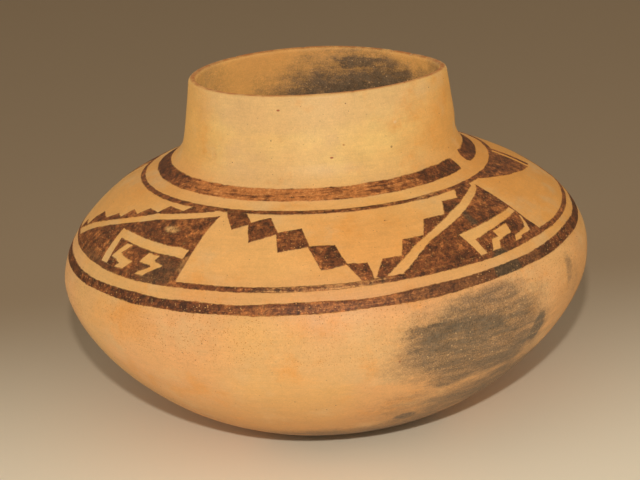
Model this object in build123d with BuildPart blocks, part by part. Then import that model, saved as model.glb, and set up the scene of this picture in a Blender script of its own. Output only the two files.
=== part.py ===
from build123d import *
import os
from math import cos, radians, sin

os.makedirs("parts", exist_ok=True)

# A coil-built pottery jar: a moulded base, rings of clay luted one on the next, and a painted shoulder
# Sizes are in millimetres and angles in degrees
# The jar stands on z = 0 with its axis on Z, and its front faces -Y

# Outer shape
BASE_RADIUS = 40.0  # flat disc that the jar rests on
BELLY_RADIUS = 115.0  # widest ring
BELLY_HEIGHT = 67.0
NECK_RADIUS = 60.0  # corner where the shoulder's slope and the neck's line would meet
NECK_HEIGHT = 113.3
SHOULDER_SLOPE = 20.0
RIM_RADIUS = 55.4
RIM_HEIGHT = 149.5

# How far each end of a curve keeps its direction
BASE_RUN = 32.0
BELLY_RISE = 25.0
SHOULDER_RISE = 18.0
SHOULDER_RUN = 24.0
ROOT_RUN = 13.0
ROOT_RISE = 9.0

# Thickness of the clay
FLOOR = 7.0
WALL = 5.5
LIP = 4.2

# Courses of clay, measured along the outside
BASE_REACH = 34.0  # from the resting disc to the first joint
RIM_COIL = 9.0  # from the last joint to the top of the lip
BELLY_COILS = 5
SHOULDER_COILS = 4
LAP_ANGLE = 35.0  # lean of each luted joint across the wall
OVERCUT = 4.0  # how far a joint's cutting line runs past the wall

# Painted rings, measured along the outside
PAINT_OUT = 0.2  # the top of a paint film stands this far outwards
PAINT_UP = 0.25  # and this far upwards from the clay
PAINT_CLEARANCE = 0.2  # its underside clears the clay by this share of that
FRAME_BAND_RISE = 13.0  # from the widest ring to the frame band
FRAME_BAND_WIDTH = 4.6
FRAME_GAP = 4.6
FRAME_LINE_WIDTH = 2.0
FRAME_SHIFT = 1.4  # the frame rings are drawn a little off the axis
NECK_LINE_DROP = 3.2  # from the foot of the neck's curve down to the neck line
NECK_LINE_WIDTH = 2.0
NECK_BAND_RISE = 2.6  # from the foot of the neck's curve up to the neck band
NECK_BAND_WIDTH = 6.0
BREAK_ANGLE = 63.0  # the neck band is left open here
BREAK_WIDTH = 11.0
BREAK_ROUND = 1.6

# Painted units between the neck line and the frame line
# Each unit has the angle of its right edge, its width and its count of steps
UNITS = ((-32.5, 53.0, 6), (55.0, 45.5, 4), (144.0, 48.0, 5), (232.0, 50.0, 6))
STRIPE_END = 2.0  # the bare stripe ends this far short of the right edge
STRIPE_WIDTH = 4.5
STEP_BACK = 0.35  # depth left behind each step, in steps
STEP_LEAN = 2.2
BEND_OUT = 0.495  # bent bare band inside the panel, in widths before the right edge
BEND_IN = 0.437
BEND_TOP = 0.67  # shares of the way from the neck line to the frame line
BEND_BOTTOM = 0.775
BOLTS = (0.33, 0.145)  # bare lightning bolts, in widths before the right edge
BOLT_FLARE = 3.8
BOLT_STROKE = 1.6
CHAIN_UNITS = (0, 2)  # units that a diamond chain follows
CHAIN_DIAMONDS = 4  # whole diamonds, before the cut-off one at the frame line
CHAIN_START = 3.0
CHAIN_ROOM = 2.0  # bare clay before the next unit
CHAIN_HALF = 0.55  # width of the cut-off diamond, in steps of the chain
CHAIN_LAP = 0.12  # how far each diamond runs into the next, in steps of the chain
DIAMOND_LEAN = (0.38, 0.77)  # places of a diamond's lower and upper corners, in steps
DIAMOND_DROP = 1.5  # depth of a diamond's lower corner, in steps
HANGING = ((1, 32.0), (3, 22.0))  # units that a hanging triangle follows, and its width
HANGING_DROP = 0.53
HANGING_STRIPE = 1.8
HANGING_EDGE = 2.4
PAST = 0.06  # paint outlines run this share past the rings that trim them


def along(angle, length):
    """Step of a given length in the section, at an angle above the horizontal."""
    return Vector(cos(radians(angle)), sin(radians(angle))) * length


# Corner points of the outer wall in section, as radius and height
corner = Vector(NECK_RADIUS, NECK_HEIGHT)
root_foot = corner - along(180 - SHOULDER_SLOPE, ROOT_RUN)
lip_outer = Vector(RIM_RADIUS, RIM_HEIGHT - LIP / 2)
lip_top = Vector(RIM_RADIUS - LIP / 2, RIM_HEIGHT)
lip_inner = Vector(RIM_RADIUS - LIP, RIM_HEIGHT - LIP / 2)
neck_direction = (lip_outer - corner).normalized()
root_head = corner + neck_direction * ROOT_RISE

# The outer wall in section, from the resting disc to the lip
with BuildLine() as outer:
    belly = Bezier(
        (BASE_RADIUS, 0),
        (BASE_RADIUS + BASE_RUN, 0),
        (BELLY_RADIUS, BELLY_HEIGHT - BELLY_RISE),
        (BELLY_RADIUS, BELLY_HEIGHT),
    )
    shoulder = Bezier(
        belly @ 1,
        belly @ 1 + Vector(0, SHOULDER_RISE),
        root_foot - along(180 - SHOULDER_SLOPE, SHOULDER_RUN),
        root_foot,
    )
    root = Bezier(root_foot, corner, root_head)
    neck = Line(root_head, lip_outer)


def inward(curve, share):
    """Direction from the outer wall into the clay."""
    tangent = curve % share
    return Vector(-tangent.Y, tangent.X)


def behind(curve, share, thickness):
    """Point of the inner wall behind a point of the outer wall."""
    return curve @ share + inward(curve, share) * thickness


# The inner wall in section, from the floor to the lip
inner_points = [behind(belly, n / 6, FLOOR + (WALL - FLOOR) * n / 6) for n in range(7)]
inner_points += [behind(shoulder, n / 4, WALL) for n in range(1, 4)]
inner_points += [behind(root, n / 3, WALL) for n in range(4)]
inner_points += [lip_inner]

with BuildSketch() as wall:
    with BuildLine():
        add(outer.line)
        ThreePointArc(lip_outer, lip_top, lip_inner)
        Spline(*inner_points, tangents=((1, 0), neck_direction))
        Polyline((BASE_RADIUS, FLOOR), (0, FLOOR), (0, 0), (BASE_RADIUS, 0))
    make_face()


def joint(curve, share):
    """Ends of a luted joint's line, outside and inside the wall."""
    point = curve @ share
    lean = radians(LAP_ANGLE)
    across = inward(curve, share) * cos(lean) - (curve % share) * sin(lean)
    return point - across * OVERCUT, point + across * (WALL + FLOOR + OVERCUT)


# Joints between the courses, from the base to the rim
first = BASE_REACH / belly.length
joints = [joint(belly, first + (1 - first) * n / BELLY_COILS) for n in range(BELLY_COILS + 1)]
joints += [joint(shoulder, n / SHOULDER_COILS) for n in range(1, SHOULDER_COILS + 1)]
neck_wall = Wire([root.edge(), neck.edge()])
rim_share = 1 - (RIM_COIL - LIP / 2) / neck_wall.length
joints += [joint(neck_wall, rim_share / 2), joint(neck_wall, rim_share)]

# Moulded base, from the axis to the first joint
with BuildPart() as moulded_base:
    with BuildSketch(Plane.XZ):
        add(wall.sketch)
        with BuildLine():
            out, into = joints[0]
            Polyline((0, -OVERCUT), (out.X, -OVERCUT), out, into, (0, into.Y), close=True)
        make_face(mode=Mode.INTERSECT)
    revolve(axis=Axis.Z)
moulded_base.part.label = "moulded_base"
export_step(moulded_base.part, "parts/moulded_base.step")

# Coils of the belly, the shoulder and the neck, each between two joints
coil_names = [f"belly_coil_{n + 1}" for n in range(BELLY_COILS)]
coil_names += [f"shoulder_coil_{n + 1}" for n in range(SHOULDER_COILS)]
coil_names += ["neck_coil_1", "neck_coil_2"]
for name, low, high in zip(coil_names, joints[:-1], joints[1:]):
    with BuildPart() as coil:
        with BuildSketch(Plane.XZ):
            add(wall.sketch)
            with BuildLine():
                Polyline(low[0], low[1], high[1], high[0], close=True)
            make_face(mode=Mode.INTERSECT)
        revolve(axis=Axis.Z)
    coil.part.label = name
    export_step(coil.part, f"parts/{name}.step")

# Rim coil with its rounded lip
with BuildPart() as rim_coil:
    with BuildSketch(Plane.XZ):
        add(wall.sketch)
        with BuildLine():
            out, into = joints[-1]
            above = RIM_HEIGHT + OVERCUT
            Polyline(out, into, (into.X, above), (out.X, above), close=True)
        make_face(mode=Mode.INTERSECT)
    revolve(axis=Axis.Z)
rim_coil.part.label = "rim_coil"
export_step(rim_coil.part, "parts/rim_coil.step")

# Film that all the paint is cut from, lying on the shoulder and the neck's curve
lift = Vector(PAINT_OUT, PAINT_UP)
seat = lift * PAINT_CLEARANCE
film_edge = shoulder @ 0
film_handles = (film_edge + Vector(0, SHOULDER_RISE), root_foot - along(180 - SHOULDER_SLOPE, SHOULDER_RUN))
with BuildPart() as film:
    with BuildSketch(Plane.XZ):
        with BuildLine():
            for step in (seat, lift):
                Bezier(film_edge + step, film_handles[0] + step, film_handles[1] + step, root_foot + step)
                Bezier(root_foot + step, corner + step, root_head + step)
            Line(film_edge + seat, film_edge + lift)
            Line(root_head + seat, root_head + lift)
        make_face()
    revolve(axis=Axis.Z)


def ring_radius(curve, length):
    """Plan radius at a length along the outer wall."""
    return curve.position_at(length, PositionMode.LENGTH).X


# Plan radii of the painted rings
frame_line_start = FRAME_BAND_RISE + FRAME_BAND_WIDTH + FRAME_GAP
frame_line_end = frame_line_start + FRAME_LINE_WIDTH
neck_line_end = shoulder.length - NECK_LINE_DROP
band_outer = ring_radius(shoulder, FRAME_BAND_RISE)
band_inner = ring_radius(shoulder, FRAME_BAND_RISE + FRAME_BAND_WIDTH)
line_outer = ring_radius(shoulder, frame_line_start)
line_inner = ring_radius(shoulder, frame_line_end)
neck_line_outer = ring_radius(shoulder, neck_line_end - NECK_LINE_WIDTH)
neck_line_inner = ring_radius(shoulder, neck_line_end)
neck_band_outer = ring_radius(root, NECK_BAND_RISE)
neck_band_inner = ring_radius(root, NECK_BAND_RISE + NECK_BAND_WIDTH)

# Two framing rings above the widest part
for name, ring_out, ring_in in (
    ("frame_band", band_outer, band_inner),
    ("frame_line", line_outer, line_inner),
):
    with BuildPart() as ring:
        with BuildSketch():
            with Locations((-FRAME_SHIFT, 0)):
                Circle(ring_out)
                Circle(ring_in, mode=Mode.SUBTRACT)
        extrude(amount=RIM_HEIGHT)
        add(film.part, mode=Mode.INTERSECT)
    ring.part.label = name
    export_step(ring.part, f"parts/{name}.step")

# Thin line below the neck
with BuildPart() as neck_line:
    with BuildSketch():
        Circle(neck_line_outer)
        Circle(neck_line_inner, mode=Mode.SUBTRACT)
    extrude(amount=RIM_HEIGHT)
    add(film.part, mode=Mode.INTERSECT)
neck_line.part.label = "neck_line"
export_step(neck_line.part, "parts/neck_line.step")


def plan(angle, radius):
    """Point in plan, with angle 0 at the front and rising to the right."""
    return (radius * sin(radians(angle)), -radius * cos(radians(angle)))


# Broad band around the foot of the neck, open at its line break
with BuildPart() as neck_band:
    with BuildSketch():
        Circle(neck_band_outer)
        Circle(neck_band_inner, mode=Mode.SUBTRACT)
        with BuildLine():
            Polyline(
                (0, 0),
                plan(BREAK_ANGLE - BREAK_WIDTH / 2, BELLY_RADIUS),
                plan(BREAK_ANGLE + BREAK_WIDTH / 2, BELLY_RADIUS),
                close=True,
            )
        make_face(mode=Mode.SUBTRACT)
        fillet(vertices(), BREAK_ROUND)
    extrude(amount=RIM_HEIGHT)
    add(film.part, mode=Mode.INTERSECT)
neck_band.part.label = "neck_band"
export_step(neck_band.part, "parts/neck_band.step")


def field(angle, share):
    """Point in plan at a share of the way from the neck line to the frame line."""
    frame_radius = line_inner - FRAME_SHIFT * sin(radians(angle))
    return plan(angle, neck_line_outer + share * (frame_radius - neck_line_outer))


def sweep_edge(start, end):
    """Edge that winds round the shoulder between two (angle, share) points."""
    middle = ((start[0] + end[0]) / 2, (start[1] + end[1]) / 2)
    return ThreePointArc(field(*start), field(*middle), field(*end))


def trim_to_field():
    """Keep what lies between the neck line and the frame line."""
    with Locations((-FRAME_SHIFT, 0)):
        Circle(line_inner, mode=Mode.INTERSECT)
    Circle(neck_line_outer, mode=Mode.SUBTRACT)


def stripe_angle(right, width, share):
    """Angle of the bare stripe's upper edge at a share of the field."""
    return right - STRIPE_END - (width - STRIPE_END) * share


# Stepped fringes, above each unit's bare stripe
with BuildPart() as stepped_fringes:
    with BuildSketch():
        for right, width, steps in UNITS:
            drop = 1 / (steps + 0.75)
            tip = (stripe_angle(right, width, 1 + PAST), 1 + PAST)
            top = (stripe_angle(right, width, -PAST), -PAST)
            stairs = [tip, (stripe_angle(right, width, 1) + STEP_LEAN, 1 - drop)]
            for n in range(1, steps + 1):
                low = 1 - n * drop
                foot = stripe_angle(right, width, low + STEP_BACK * drop)
                high = low - drop if n < steps else -PAST
                stairs += [(foot, low), (foot + STEP_LEAN, high)]
            with BuildLine():
                sweep_edge(tip, top)
                Polyline(*[field(*point) for point in stairs])
                Line(field(*stairs[-1]), field(*top))
            make_face()
        trim_to_field()
    extrude(amount=RIM_HEIGHT)
    add(film.part, mode=Mode.INTERSECT)
stepped_fringes.part.label = "stepped_fringes"
export_step(stepped_fringes.part, "parts/stepped_fringes.step")

# Dark panels below the stripes, with a bent bare band and lightning bolts left open
with BuildPart() as lightning_panels:
    with BuildSketch():
        for right, width, steps in UNITS:
            point = STRIPE_WIDTH - STRIPE_END
            peak = (right, point / (width - STRIPE_END))
            left = (stripe_angle(right, width, 1 + PAST) + STRIPE_WIDTH, 1 + PAST)
            with BuildLine():
                sweep_edge(left, peak)
                Line(field(*peak), field(right, 1 + PAST))
                sweep_edge((right, 1 + PAST), left)
            make_face()
        for right, width, steps in UNITS:
            leg_out = right - width * BEND_OUT
            leg_in = right - width * BEND_IN
            end = right + STRIPE_END
            with BuildLine():
                Line(field(leg_out, 1 + PAST), field(leg_out, BEND_TOP))
                sweep_edge((leg_out, BEND_TOP), (end, BEND_TOP))
                Line(field(end, BEND_TOP), field(end, BEND_BOTTOM))
                sweep_edge((end, BEND_BOTTOM), (leg_in, BEND_BOTTOM))
                Line(field(leg_in, BEND_BOTTOM), field(leg_in, 1 + PAST))
                Line(field(leg_in, 1 + PAST), field(leg_out, 1 + PAST))
            make_face(mode=Mode.SUBTRACT)
            for bolt in BOLTS:
                middle = right - width * bolt
                start = BEND_BOTTOM - PAST / 2
                zigzag = (
                    (-BOLT_STROKE / 2, start),
                    (BOLT_STROKE / 2, start),
                    (-BOLT_STROKE * 0.75, 0.905),
                    (BOLT_FLARE, 0.925),
                    (BOLT_STROKE, 1 + PAST),
                    (-BOLT_STROKE * 0.25, 1 + PAST),
                    (BOLT_STROKE * 0.8, 0.965),
                    (-BOLT_FLARE, 0.945),
                )
                with BuildLine():
                    Polyline(*[field(middle + turn, share) for turn, share in zigzag], close=True)
                make_face(mode=Mode.SUBTRACT)
        trim_to_field()
    extrude(amount=RIM_HEIGHT)
    add(film.part, mode=Mode.INTERSECT)
lightning_panels.part.label = "lightning_panels"
export_step(lightning_panels.part, "parts/lightning_panels.step")

# Chains of diamonds that climb down from the neck line to the foot of the next unit
with BuildPart() as diamond_chains:
    with BuildSketch():
        for unit in CHAIN_UNITS:
            right = UNITS[unit][0]
            next_right, next_width, steps = UNITS[unit + 1]
            start = right + CHAIN_START
            turn = (next_right - next_width - CHAIN_ROOM - start) / (CHAIN_DIAMONDS + CHAIN_HALF)
            drop = 1 / (CHAIN_DIAMONDS + 1)
            for n in range(CHAIN_DIAMONDS):
                angle = start + n * turn
                share = n * drop
                diamond = (
                    (angle, share),
                    (angle + turn * DIAMOND_LEAN[1], share - PAST),
                    (angle + turn * (1 + CHAIN_LAP), share + drop * (1 + CHAIN_LAP)),
                    (angle + turn * DIAMOND_LEAN[0], share + drop * DIAMOND_DROP),
                )
                with BuildLine():
                    Polyline(*[field(*point) for point in diamond], close=True)
                make_face()
            angle = start + CHAIN_DIAMONDS * turn
            share = CHAIN_DIAMONDS * drop
            half = (
                (angle, share),
                (angle + turn * CHAIN_HALF, share),
                (angle + turn * CHAIN_HALF, 1 + PAST),
                (angle + turn * DIAMOND_LEAN[0], 1 + PAST),
            )
            with BuildLine():
                Polyline(*[field(*point) for point in half], close=True)
            make_face()
        trim_to_field()
    extrude(amount=RIM_HEIGHT)
    add(film.part, mode=Mode.INTERSECT)
diamond_chains.part.label = "diamond_chains"
export_step(diamond_chains.part, "parts/diamond_chains.step")

# Dark triangles that hang from the neck line, each with a parallel edge stripe
with BuildPart() as hanging_triangles:
    with BuildSketch():
        for unit, span in HANGING:
            left = UNITS[unit][0]
            side = left + span
            lean = STEP_LEAN
            with BuildLine():
                sweep_edge((left, 0), (side, HANGING_DROP))
                Line(field(side, HANGING_DROP), field(side + lean, -PAST))
                sweep_edge((side + lean, -PAST), (left, -PAST))
                Line(field(left, -PAST), field(left, 0))
            make_face()
            near = side + HANGING_STRIPE
            far = near + HANGING_EDGE
            edge = ((near, HANGING_DROP), (far, HANGING_DROP + PAST), (far + lean, -PAST), (near + lean, -PAST))
            with BuildLine():
                Polyline(*[field(*point) for point in edge], close=True)
            make_face()
        trim_to_field()
    extrude(amount=RIM_HEIGHT)
    add(film.part, mode=Mode.INTERSECT)
hanging_triangles.part.label = "hanging_triangles"
export_step(hanging_triangles.part, "parts/hanging_triangles.step")
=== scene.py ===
"""Coil-built pottery jar: an uneven polished wall, a painted shoulder and a plain stage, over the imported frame."""

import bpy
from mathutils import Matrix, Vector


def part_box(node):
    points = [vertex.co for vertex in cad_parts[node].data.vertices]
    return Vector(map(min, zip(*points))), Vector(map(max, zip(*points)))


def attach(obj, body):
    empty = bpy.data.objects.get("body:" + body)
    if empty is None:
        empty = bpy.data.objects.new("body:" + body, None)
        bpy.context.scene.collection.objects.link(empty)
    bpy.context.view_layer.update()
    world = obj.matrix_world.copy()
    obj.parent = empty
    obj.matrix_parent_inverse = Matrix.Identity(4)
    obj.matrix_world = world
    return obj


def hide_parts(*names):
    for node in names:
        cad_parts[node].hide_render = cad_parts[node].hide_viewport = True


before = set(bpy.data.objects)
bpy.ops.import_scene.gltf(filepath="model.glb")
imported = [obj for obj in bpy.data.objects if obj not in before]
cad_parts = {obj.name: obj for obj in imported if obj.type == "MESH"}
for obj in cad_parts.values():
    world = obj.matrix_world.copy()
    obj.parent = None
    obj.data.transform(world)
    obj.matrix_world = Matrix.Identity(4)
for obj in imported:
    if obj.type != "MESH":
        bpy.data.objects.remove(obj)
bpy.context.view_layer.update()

from bisect import bisect_right
from functools import partialmethod, reduce
from math import atan2, ceil, cos, exp, floor, hypot, pi, radians, sin, tan
from operator import add

import bmesh
import bpy
from bpy.props import FloatProperty, FloatVectorProperty, IntProperty, PointerProperty
from mathutils import Matrix, Vector, geometry, noise

bl_info = {
    "name": "Pottery jar",
    "version": (1, 0, 0),
    "blender": (4, 5, 0),
    "location": "3D View > Sidebar > Jar",
    "description": "Builds a coil-built pottery jar with a painted shoulder",
    "category": "Object",
}

MM = 0.001
UP = Vector((0, 0, 1))
BODY = "root"

# Courses of clay from the base up, as the frame names them
BELLY_COILS = [f"belly_coil_{n}" for n in range(1, 6)]
SHOULDER_COILS = [f"shoulder_coil_{n}" for n in range(1, 5)]
NECK_COILS = ["neck_coil_1", "neck_coil_2"]

# Chips in the lip, as angle and width in degrees and depth in millimetres
LIP_CHIPS = (
    (97.0, 1.0, 0.5), (103.5, 0.7, 0.4), (126.0, 0.8, 0.42), (139.0, 0.9, 0.3), (-84.0, 0.8, 0.2),
    (-24.0, 0.8, 0.2), (14.0, 0.7, 0.2), (186.0, 1.0, 0.25), (223.0, 0.8, 0.25), (58.0, 0.8, 0.2),
)

# Smoke marks of the firing, as strength, angle, height, half angle, half height and raggedness of the edge
OUTER_CLOUDS = (
    (0.84, 30.0, 59.0, 20.5, 20.0, 0.35), (0.92, 24.0, 62.5, 13.0, 11.0, 0.6), (0.99, 31.5, 65.5, 7.5, 4.6, 1.6),
    (0.96, 20.5, 68.0, 8.0, 4.0, 1.6), (0.74, 31.5, 75.0, 12.0, 5.2, 0.6), (0.86, 37.0, 50.0, 13.0, 13.0, 0.55),
    (1.05, 46.5, 54.0, 2.6, 9.5, 0.8), (0.78, 26.0, 44.0, 8.5, 6.0, 1.0), (0.84, 48.0, 28.0, 30.0, 14.0, 0.4),
    (0.95, 18.0, 22.3, 3.2, 2.6, 1.0), (0.50, 58.4, 72.0, 2.0, 7.5, 1.0), (0.25, 61.0, 64.0, 4.0, 12.0, 1.0),
    (0.76, 12.0, 5.0, 46.0, 14.0, 0.4), (0.66, 24.0, 15.0, 18.0, 9.0, 0.6), (0.40, 28.0, 30.0, 22.0, 14.0, 0.5),
    (0.48, 43.0, 40.0, 14.0, 14.0, 0.6), (0.75, 206.0, 42.0, 26.0, 20.0, 0.5), (0.60, 219.0, 56.0, 20.0, 12.0, 0.5),
)
# Inside the jar, in the same way: smoke marks, and in the last patch, on the left inner wall, painted shade
INNER_SMOKE_AND_SHADE = (
    (0.98, 152.0, 114.0, 61.0, 33.0, 0.45), (1.08, 151.0, 114.0, 42.0, 31.0, 0.7), (0.90, 156.0, 139.5, 20.0, 4.5, 1.8),
    (0.45, 20.0, 70.0, 200.0, 42.0, 0.5), (0.52, 97.0, 138.0, 14.0, 18.0, 0.5), (0.30, 250.0, 138.0, 22.0, 22.0, 0.5),
)
# Blackened paint, in the same way
BLACK_PAINT = (
    (2.2, 39.0, 82.0, 3.6, 7.0, 0.25), (0.45, 34.0, 82.0, 24.0, 7.0, 0.7), (0.8, 38.5, 99.5, 2.2, 4.2, 1.6),
    (0.6, -40.0, 88.0, 6.0, 8.0, 1.2), (0.5, -62.0, 84.0, 12.0, 5.0, 1.0), (0.15, 75.0, 108.0, 16.0, 9.0, 0.8),
)
# Places where the paint is rubbed through
SCUFFS = ((0.8, -41.8, 101.4, 2.4, 1.0, 1.0), (0.3, -31.8, 93.0, 1.5, 2.6, 1.6))
# Tinted areas of the clay, as colour, strength and then place and size in the same way
TINTS = (
    ("bloom", 0.65, -8.0, 143.0, 66.0, 11.0, 0.6), ("gold", 0.7, 84.0, 126.0, 50.0, 28.0, 0.35),
    ("gold", 0.7, 84.0, 97.0, 42.0, 18.0, 0.8), ("gold", 0.4, 10.0, 99.0, 18.0, 9.0, 1.0),
    ("bloom", 0.45, 8.0, 60.0, 26.0, 14.0, 1.2), ("bloom", 0.35, -20.0, 122.0, 30.0, 10.0, 1.2),
    ("low", 0.3, 0.0, 84.5, 62.0, 7.0, 0.3), ("gold", 0.35, -46.0, 70.0, 12.0, 8.0, 1.2),
    ("gold", 0.4, 170.0, 66.0, 40.0, 16.0, 1.2), ("gold", 0.55, -76.0, 124.0, 34.0, 34.0, 0.4),
    ("low", 0.8, 82.0, 58.0, 34.0, 26.0, 0.6),
)

# Single grains and a pale nick on the neck, in the same way
GRAINS = (
    ("rust", 0.9, -15.3, 142.8, 0.7, 0.4, 0.5), ("rust", 1.0, 5.0, 123.6, 0.8, 0.4, 0.5),
    ("speck", 0.6, 29.6, 124.6, 0.5, 0.5, 0.5), ("freckle", 0.8, 10.0, 128.2, 0.5, 0.4, 0.5),
    ("speck", 0.6, -18.8, 131.0, 0.35, 0.35, 0.5), ("chip", 0.9, 32.5, 134.0, 0.8, 0.6, 0.5),
)

# Heights in metres between which a tone of the clay comes or goes
SHOULDER_TONE = ((0.080, 0.092), (0.116, 0.106))
NECK_TONE = (0.108, 0.124)
LOW_TONE = (0.058, 0.010)
RUST_ZONE = ((0.050, 0.066), (0.086, 0.078))
# Heights between which the lighter inside colour, partly painted light, comes in
LINING_LIGHT_HEIGHTS = (0.135, 0.085)

# Noise, as waves to the metre, detail and roughness
BLUSHES = (15.0, 2.0, 0.5)
NECK_BLUSHES = (30.0, 3.0, 0.6)
YOLKS = (58.0, 4.0, 0.65)
PEARLS = ((44, 44, 58), 4.0, 0.65)
FRECKLE_FLOCKS = (38.0, 2.0, 0.5)
FLAKE_FLOCKS = (55.0, 2.0, 0.5)
LIP_WEAR = (160.0, 3.0, 0.7)
CLAY_NOISE = {"mottle": (120.0, 4.0, 0.65), "grit": (520.0, 4.0, 0.75), "fine": (1700.0, 3.0, 0.75)}
PAINT_NOISE = {
    "cloud": (95.0, 5.0, 0.7), "blotch": (330.0, 4.0, 0.75), "fine": (1250.0, 3.0, 0.75), "grit": (620.0, 4.0, 0.75),
}
# Noise that makes edges ragged, as waves to the metre and amount
DRIFTS = (((38, 38, 70), 1.5), ((75, 75, 330), 0.7), ((520, 520, 520), 0.45))
# Brushed streaks: their scale round the jar, and waves to the metre of height for close and for broad ones
TURN_WAVES, STREAK_WAVES, SWEEP_WAVES = (7.0, 7.0, 7.0), 1500.0, 330.0
# The clay's noise is turned, so that its lattice doesn't lie along the axes
NOISE_AXIS, NOISE_TURN = (0.36, 0.48, 0.8), 0.9

# Shares of each noise in what the clay and the paint show
CLAY_SHADE = {"mottle": 0.20, "streak": 0.22, "grit": 0.22, "sweep": 0.12, "fine": 0.42}
SMOKE_PATCHES = {"streak": 0.35, "sweep": 0.65, "mottle": 0.2, "grit": 0.3, "fine": -0.4}
SMOKE_SHADE = {"fine": 0.9, "grit": 1.9, "streak": 0.7, "mottle": 0.8}
CLAY_ROUGHNESS = {"mottle": 0.16, "streak": 0.14, "inside": 0.12}
CLAY_BUMPS = {"streak": 0.5, "fine": 0.5, "specks": -0.3}
PAINT_LOAD = {"cloud": 0.45, "blotch": 0.60, "streak": 0.2}
DRY_BRISTLES = {"streak": 0.5, "grit": 0.5, "dryness": 0.30}
PAINT_BUMPS = {"streak": 0.3, "fine": 0.3, "bare": -1.0}

# Dots, as cells to the metre, radius in cells and share of the cells that have one
FRECKLES = ((1250.0, 0.30, 0.65), (760.0, 0.24, 0.5))
SPECKS = ((260.0, 0.085, 0.16), (120.0, 0.06, 0.2))
ZONE_SPECKS = (620.0, 0.18, 0.08)
FAINT_SPECKS = (700.0, 0.16, 0.08)
RED_GRAINS = (85.0, 0.065, 0.16)
SMOKE_FLECKS = (540.0, 0.22, 0.35)
FLAKES = ((640.0, 0.23, 0.36), (950.0, 0.28, 0.5))

# Wear of the paint, as pits, dryness and thinness, and then the patches where it is dry and where it is thin
WEAR = {
    "frame_band": (1.0, 0.25, 0.14, (-4, 82, 34, 14, 1.2), (10, 82, 44, 20, 0.8)),
    "frame_line": (0.6, 0.62, 0.0, (-1, 88, 18, 12, 0.6), None),
    "neck_line": (0.4, 0.5, 0.0, (16, 107, 24, 14, 0.8), None),
    "neck_band": (0.4, 0.35, 0.9, (-10, 111, 46, 30, 0.8), (-14, 111, 46, 30, 0.5)),
    "motif": (0.7, 0.0, 0.0, None, None),
}
THICK_PAINT = 0.35  # how much thicker the paint is outside its thin patch

# Shares at which a motif ends under the frame line and under the neck line
FRAME, NECK = 1.04, -0.035

# Painted units at the front, as (angle in degrees, share of the way from the neck line to the frame line)
# The bare shapes in the dark panel are a bent band and two lightning bolts
LEFT_UNIT = {
    "right": -32.5,
    "stripe_top": ((-32.7, 0.034), (-51.7, 0.273), (-61.8, 0.492), (-75.1, 0.766), (-86.5, FRAME)),
    "stripe_low": ((-31.0, 0.108), (-49.8, 0.346), (-59.9, 0.536), (-72.5, 0.791), (-82.5, FRAME)),
    "stairs": (
        (-84.4, 0.87), (-80.6, 0.875), (-78.8, 0.735), (-76.5, 0.618), (-71.6, 0.632), (-67.6, 0.492),
        (-64.9, 0.509), (-62.6, 0.338), (-59.0, 0.368), (-56.3, 0.210), (-51.9, 0.240), (-49.3, 0.078),
        (-43.1, 0.107), (-40.8, NECK),
    ),
    "edge": ((-29.7, 0.085), (-31.7, 0.484), (-32.3, 0.745), (-32.9, 0.919), (-33.3, FRAME)),
    "bare": (
        ((-58.6, 1.0), (-59.1, 0.608), (-33.6, 0.656), (-34.0, 0.763), (-56.7, 0.712), (-56.0, 0.997)),
        (
            (-52.9, 0.753), (-55.6, 0.925), (-53.3, 0.930), (-51.5, 0.956), (-52.5, 1.0), (-49.6, 0.993),
            (-47.8, 0.908), (-51.6, 0.881), (-52.9, 0.860), (-50.8, 0.746),
        ),
        (
            (-44.1, 0.775), (-45.4, 0.891), (-42.0, 0.887), (-41.5, 0.913), (-45.1, 1.006), (-42.9, 1.008),
            (-38.4, 0.881), (-40.6, 0.860), (-41.4, 0.835), (-40.5, 0.780),
        ),
    ),
}
RIGHT_UNIT = {
    "right": 55.0,
    "stripe_top": ((51.1, 0.061), (34.8, 0.344), (20.8, 0.676), (10.6, FRAME)),
    "stripe_low": ((51.0, 0.152), (35.3, 0.452), (23.3, 0.694), (13.9, FRAME)),
    "stairs": (
        (9.5, 0.985), (11.8, 0.792), (16.2, 0.793), (17.8, 0.583), (23.4, 0.579), (26.0, 0.336),
        (32.5, 0.345), (35.9, 0.125), (41.3, 0.155), (44.3, NECK),
    ),
    "edge": ((53.0, 0.07), (53.0, 0.3), (53.3, 0.65), (53.7, 0.82), (55.2, FRAME)),
    "bare": (
        ((33.9, 1.01), (32.0, 0.694), (52.5, 0.599), (52.7, 0.672), (34.9, 0.805), (35.6, 1.01)),
        (
            (41.0, 0.790), (46.3, 0.762), (45.5, 0.880), (42.4, 0.896), (40.7, 0.920), (39.4, 1.01), (37.4, 1.01),
            (39.1, 0.880), (41.3, 0.877),
        ),
        (
            (52.6, 0.745), (51.9, 0.845), (50.8, 0.915), (45.9, 0.938), (44.7, 1.01), (47.0, 1.01), (47.4, 0.970),
            (51.5, 0.966), (52.4, 0.876), (52.95, 0.763),
        ),
    ),
}
# Chain of diamonds between the two units at the front
DIAMONDS = (
    ((-29.3, NECK), (-22.8, NECK), (-19.3, 0.185), (-24.5, 0.311)),
    ((-20.6, 0.165), (-14.4, 0.063), (-11.6, 0.335), (-19.0, 0.487)),
    ((-12.4, 0.315), (-5.7, 0.253), (-3.9, 0.54), (-11.5, 0.617)),
    ((-4.7, 0.522), (1.9, 0.533), (4.2, 0.815), (-1.5, 0.861)),
    ((3.4, 0.795), (8.4, 0.813), (9.3, FRAME), (7.1, FRAME)),
)
# Dark triangle that hangs from the neck line, and the stripe beside it
HANGING_TRIANGLE = ((54.6, NECK), (71.0, 0.28), (87.2, 0.52), (89.4, NECK))
HANGING_STRIPE = ((89.2, 0.53), (91.6, 0.56), (93.8, NECK), (91.4, NECK))
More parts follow.
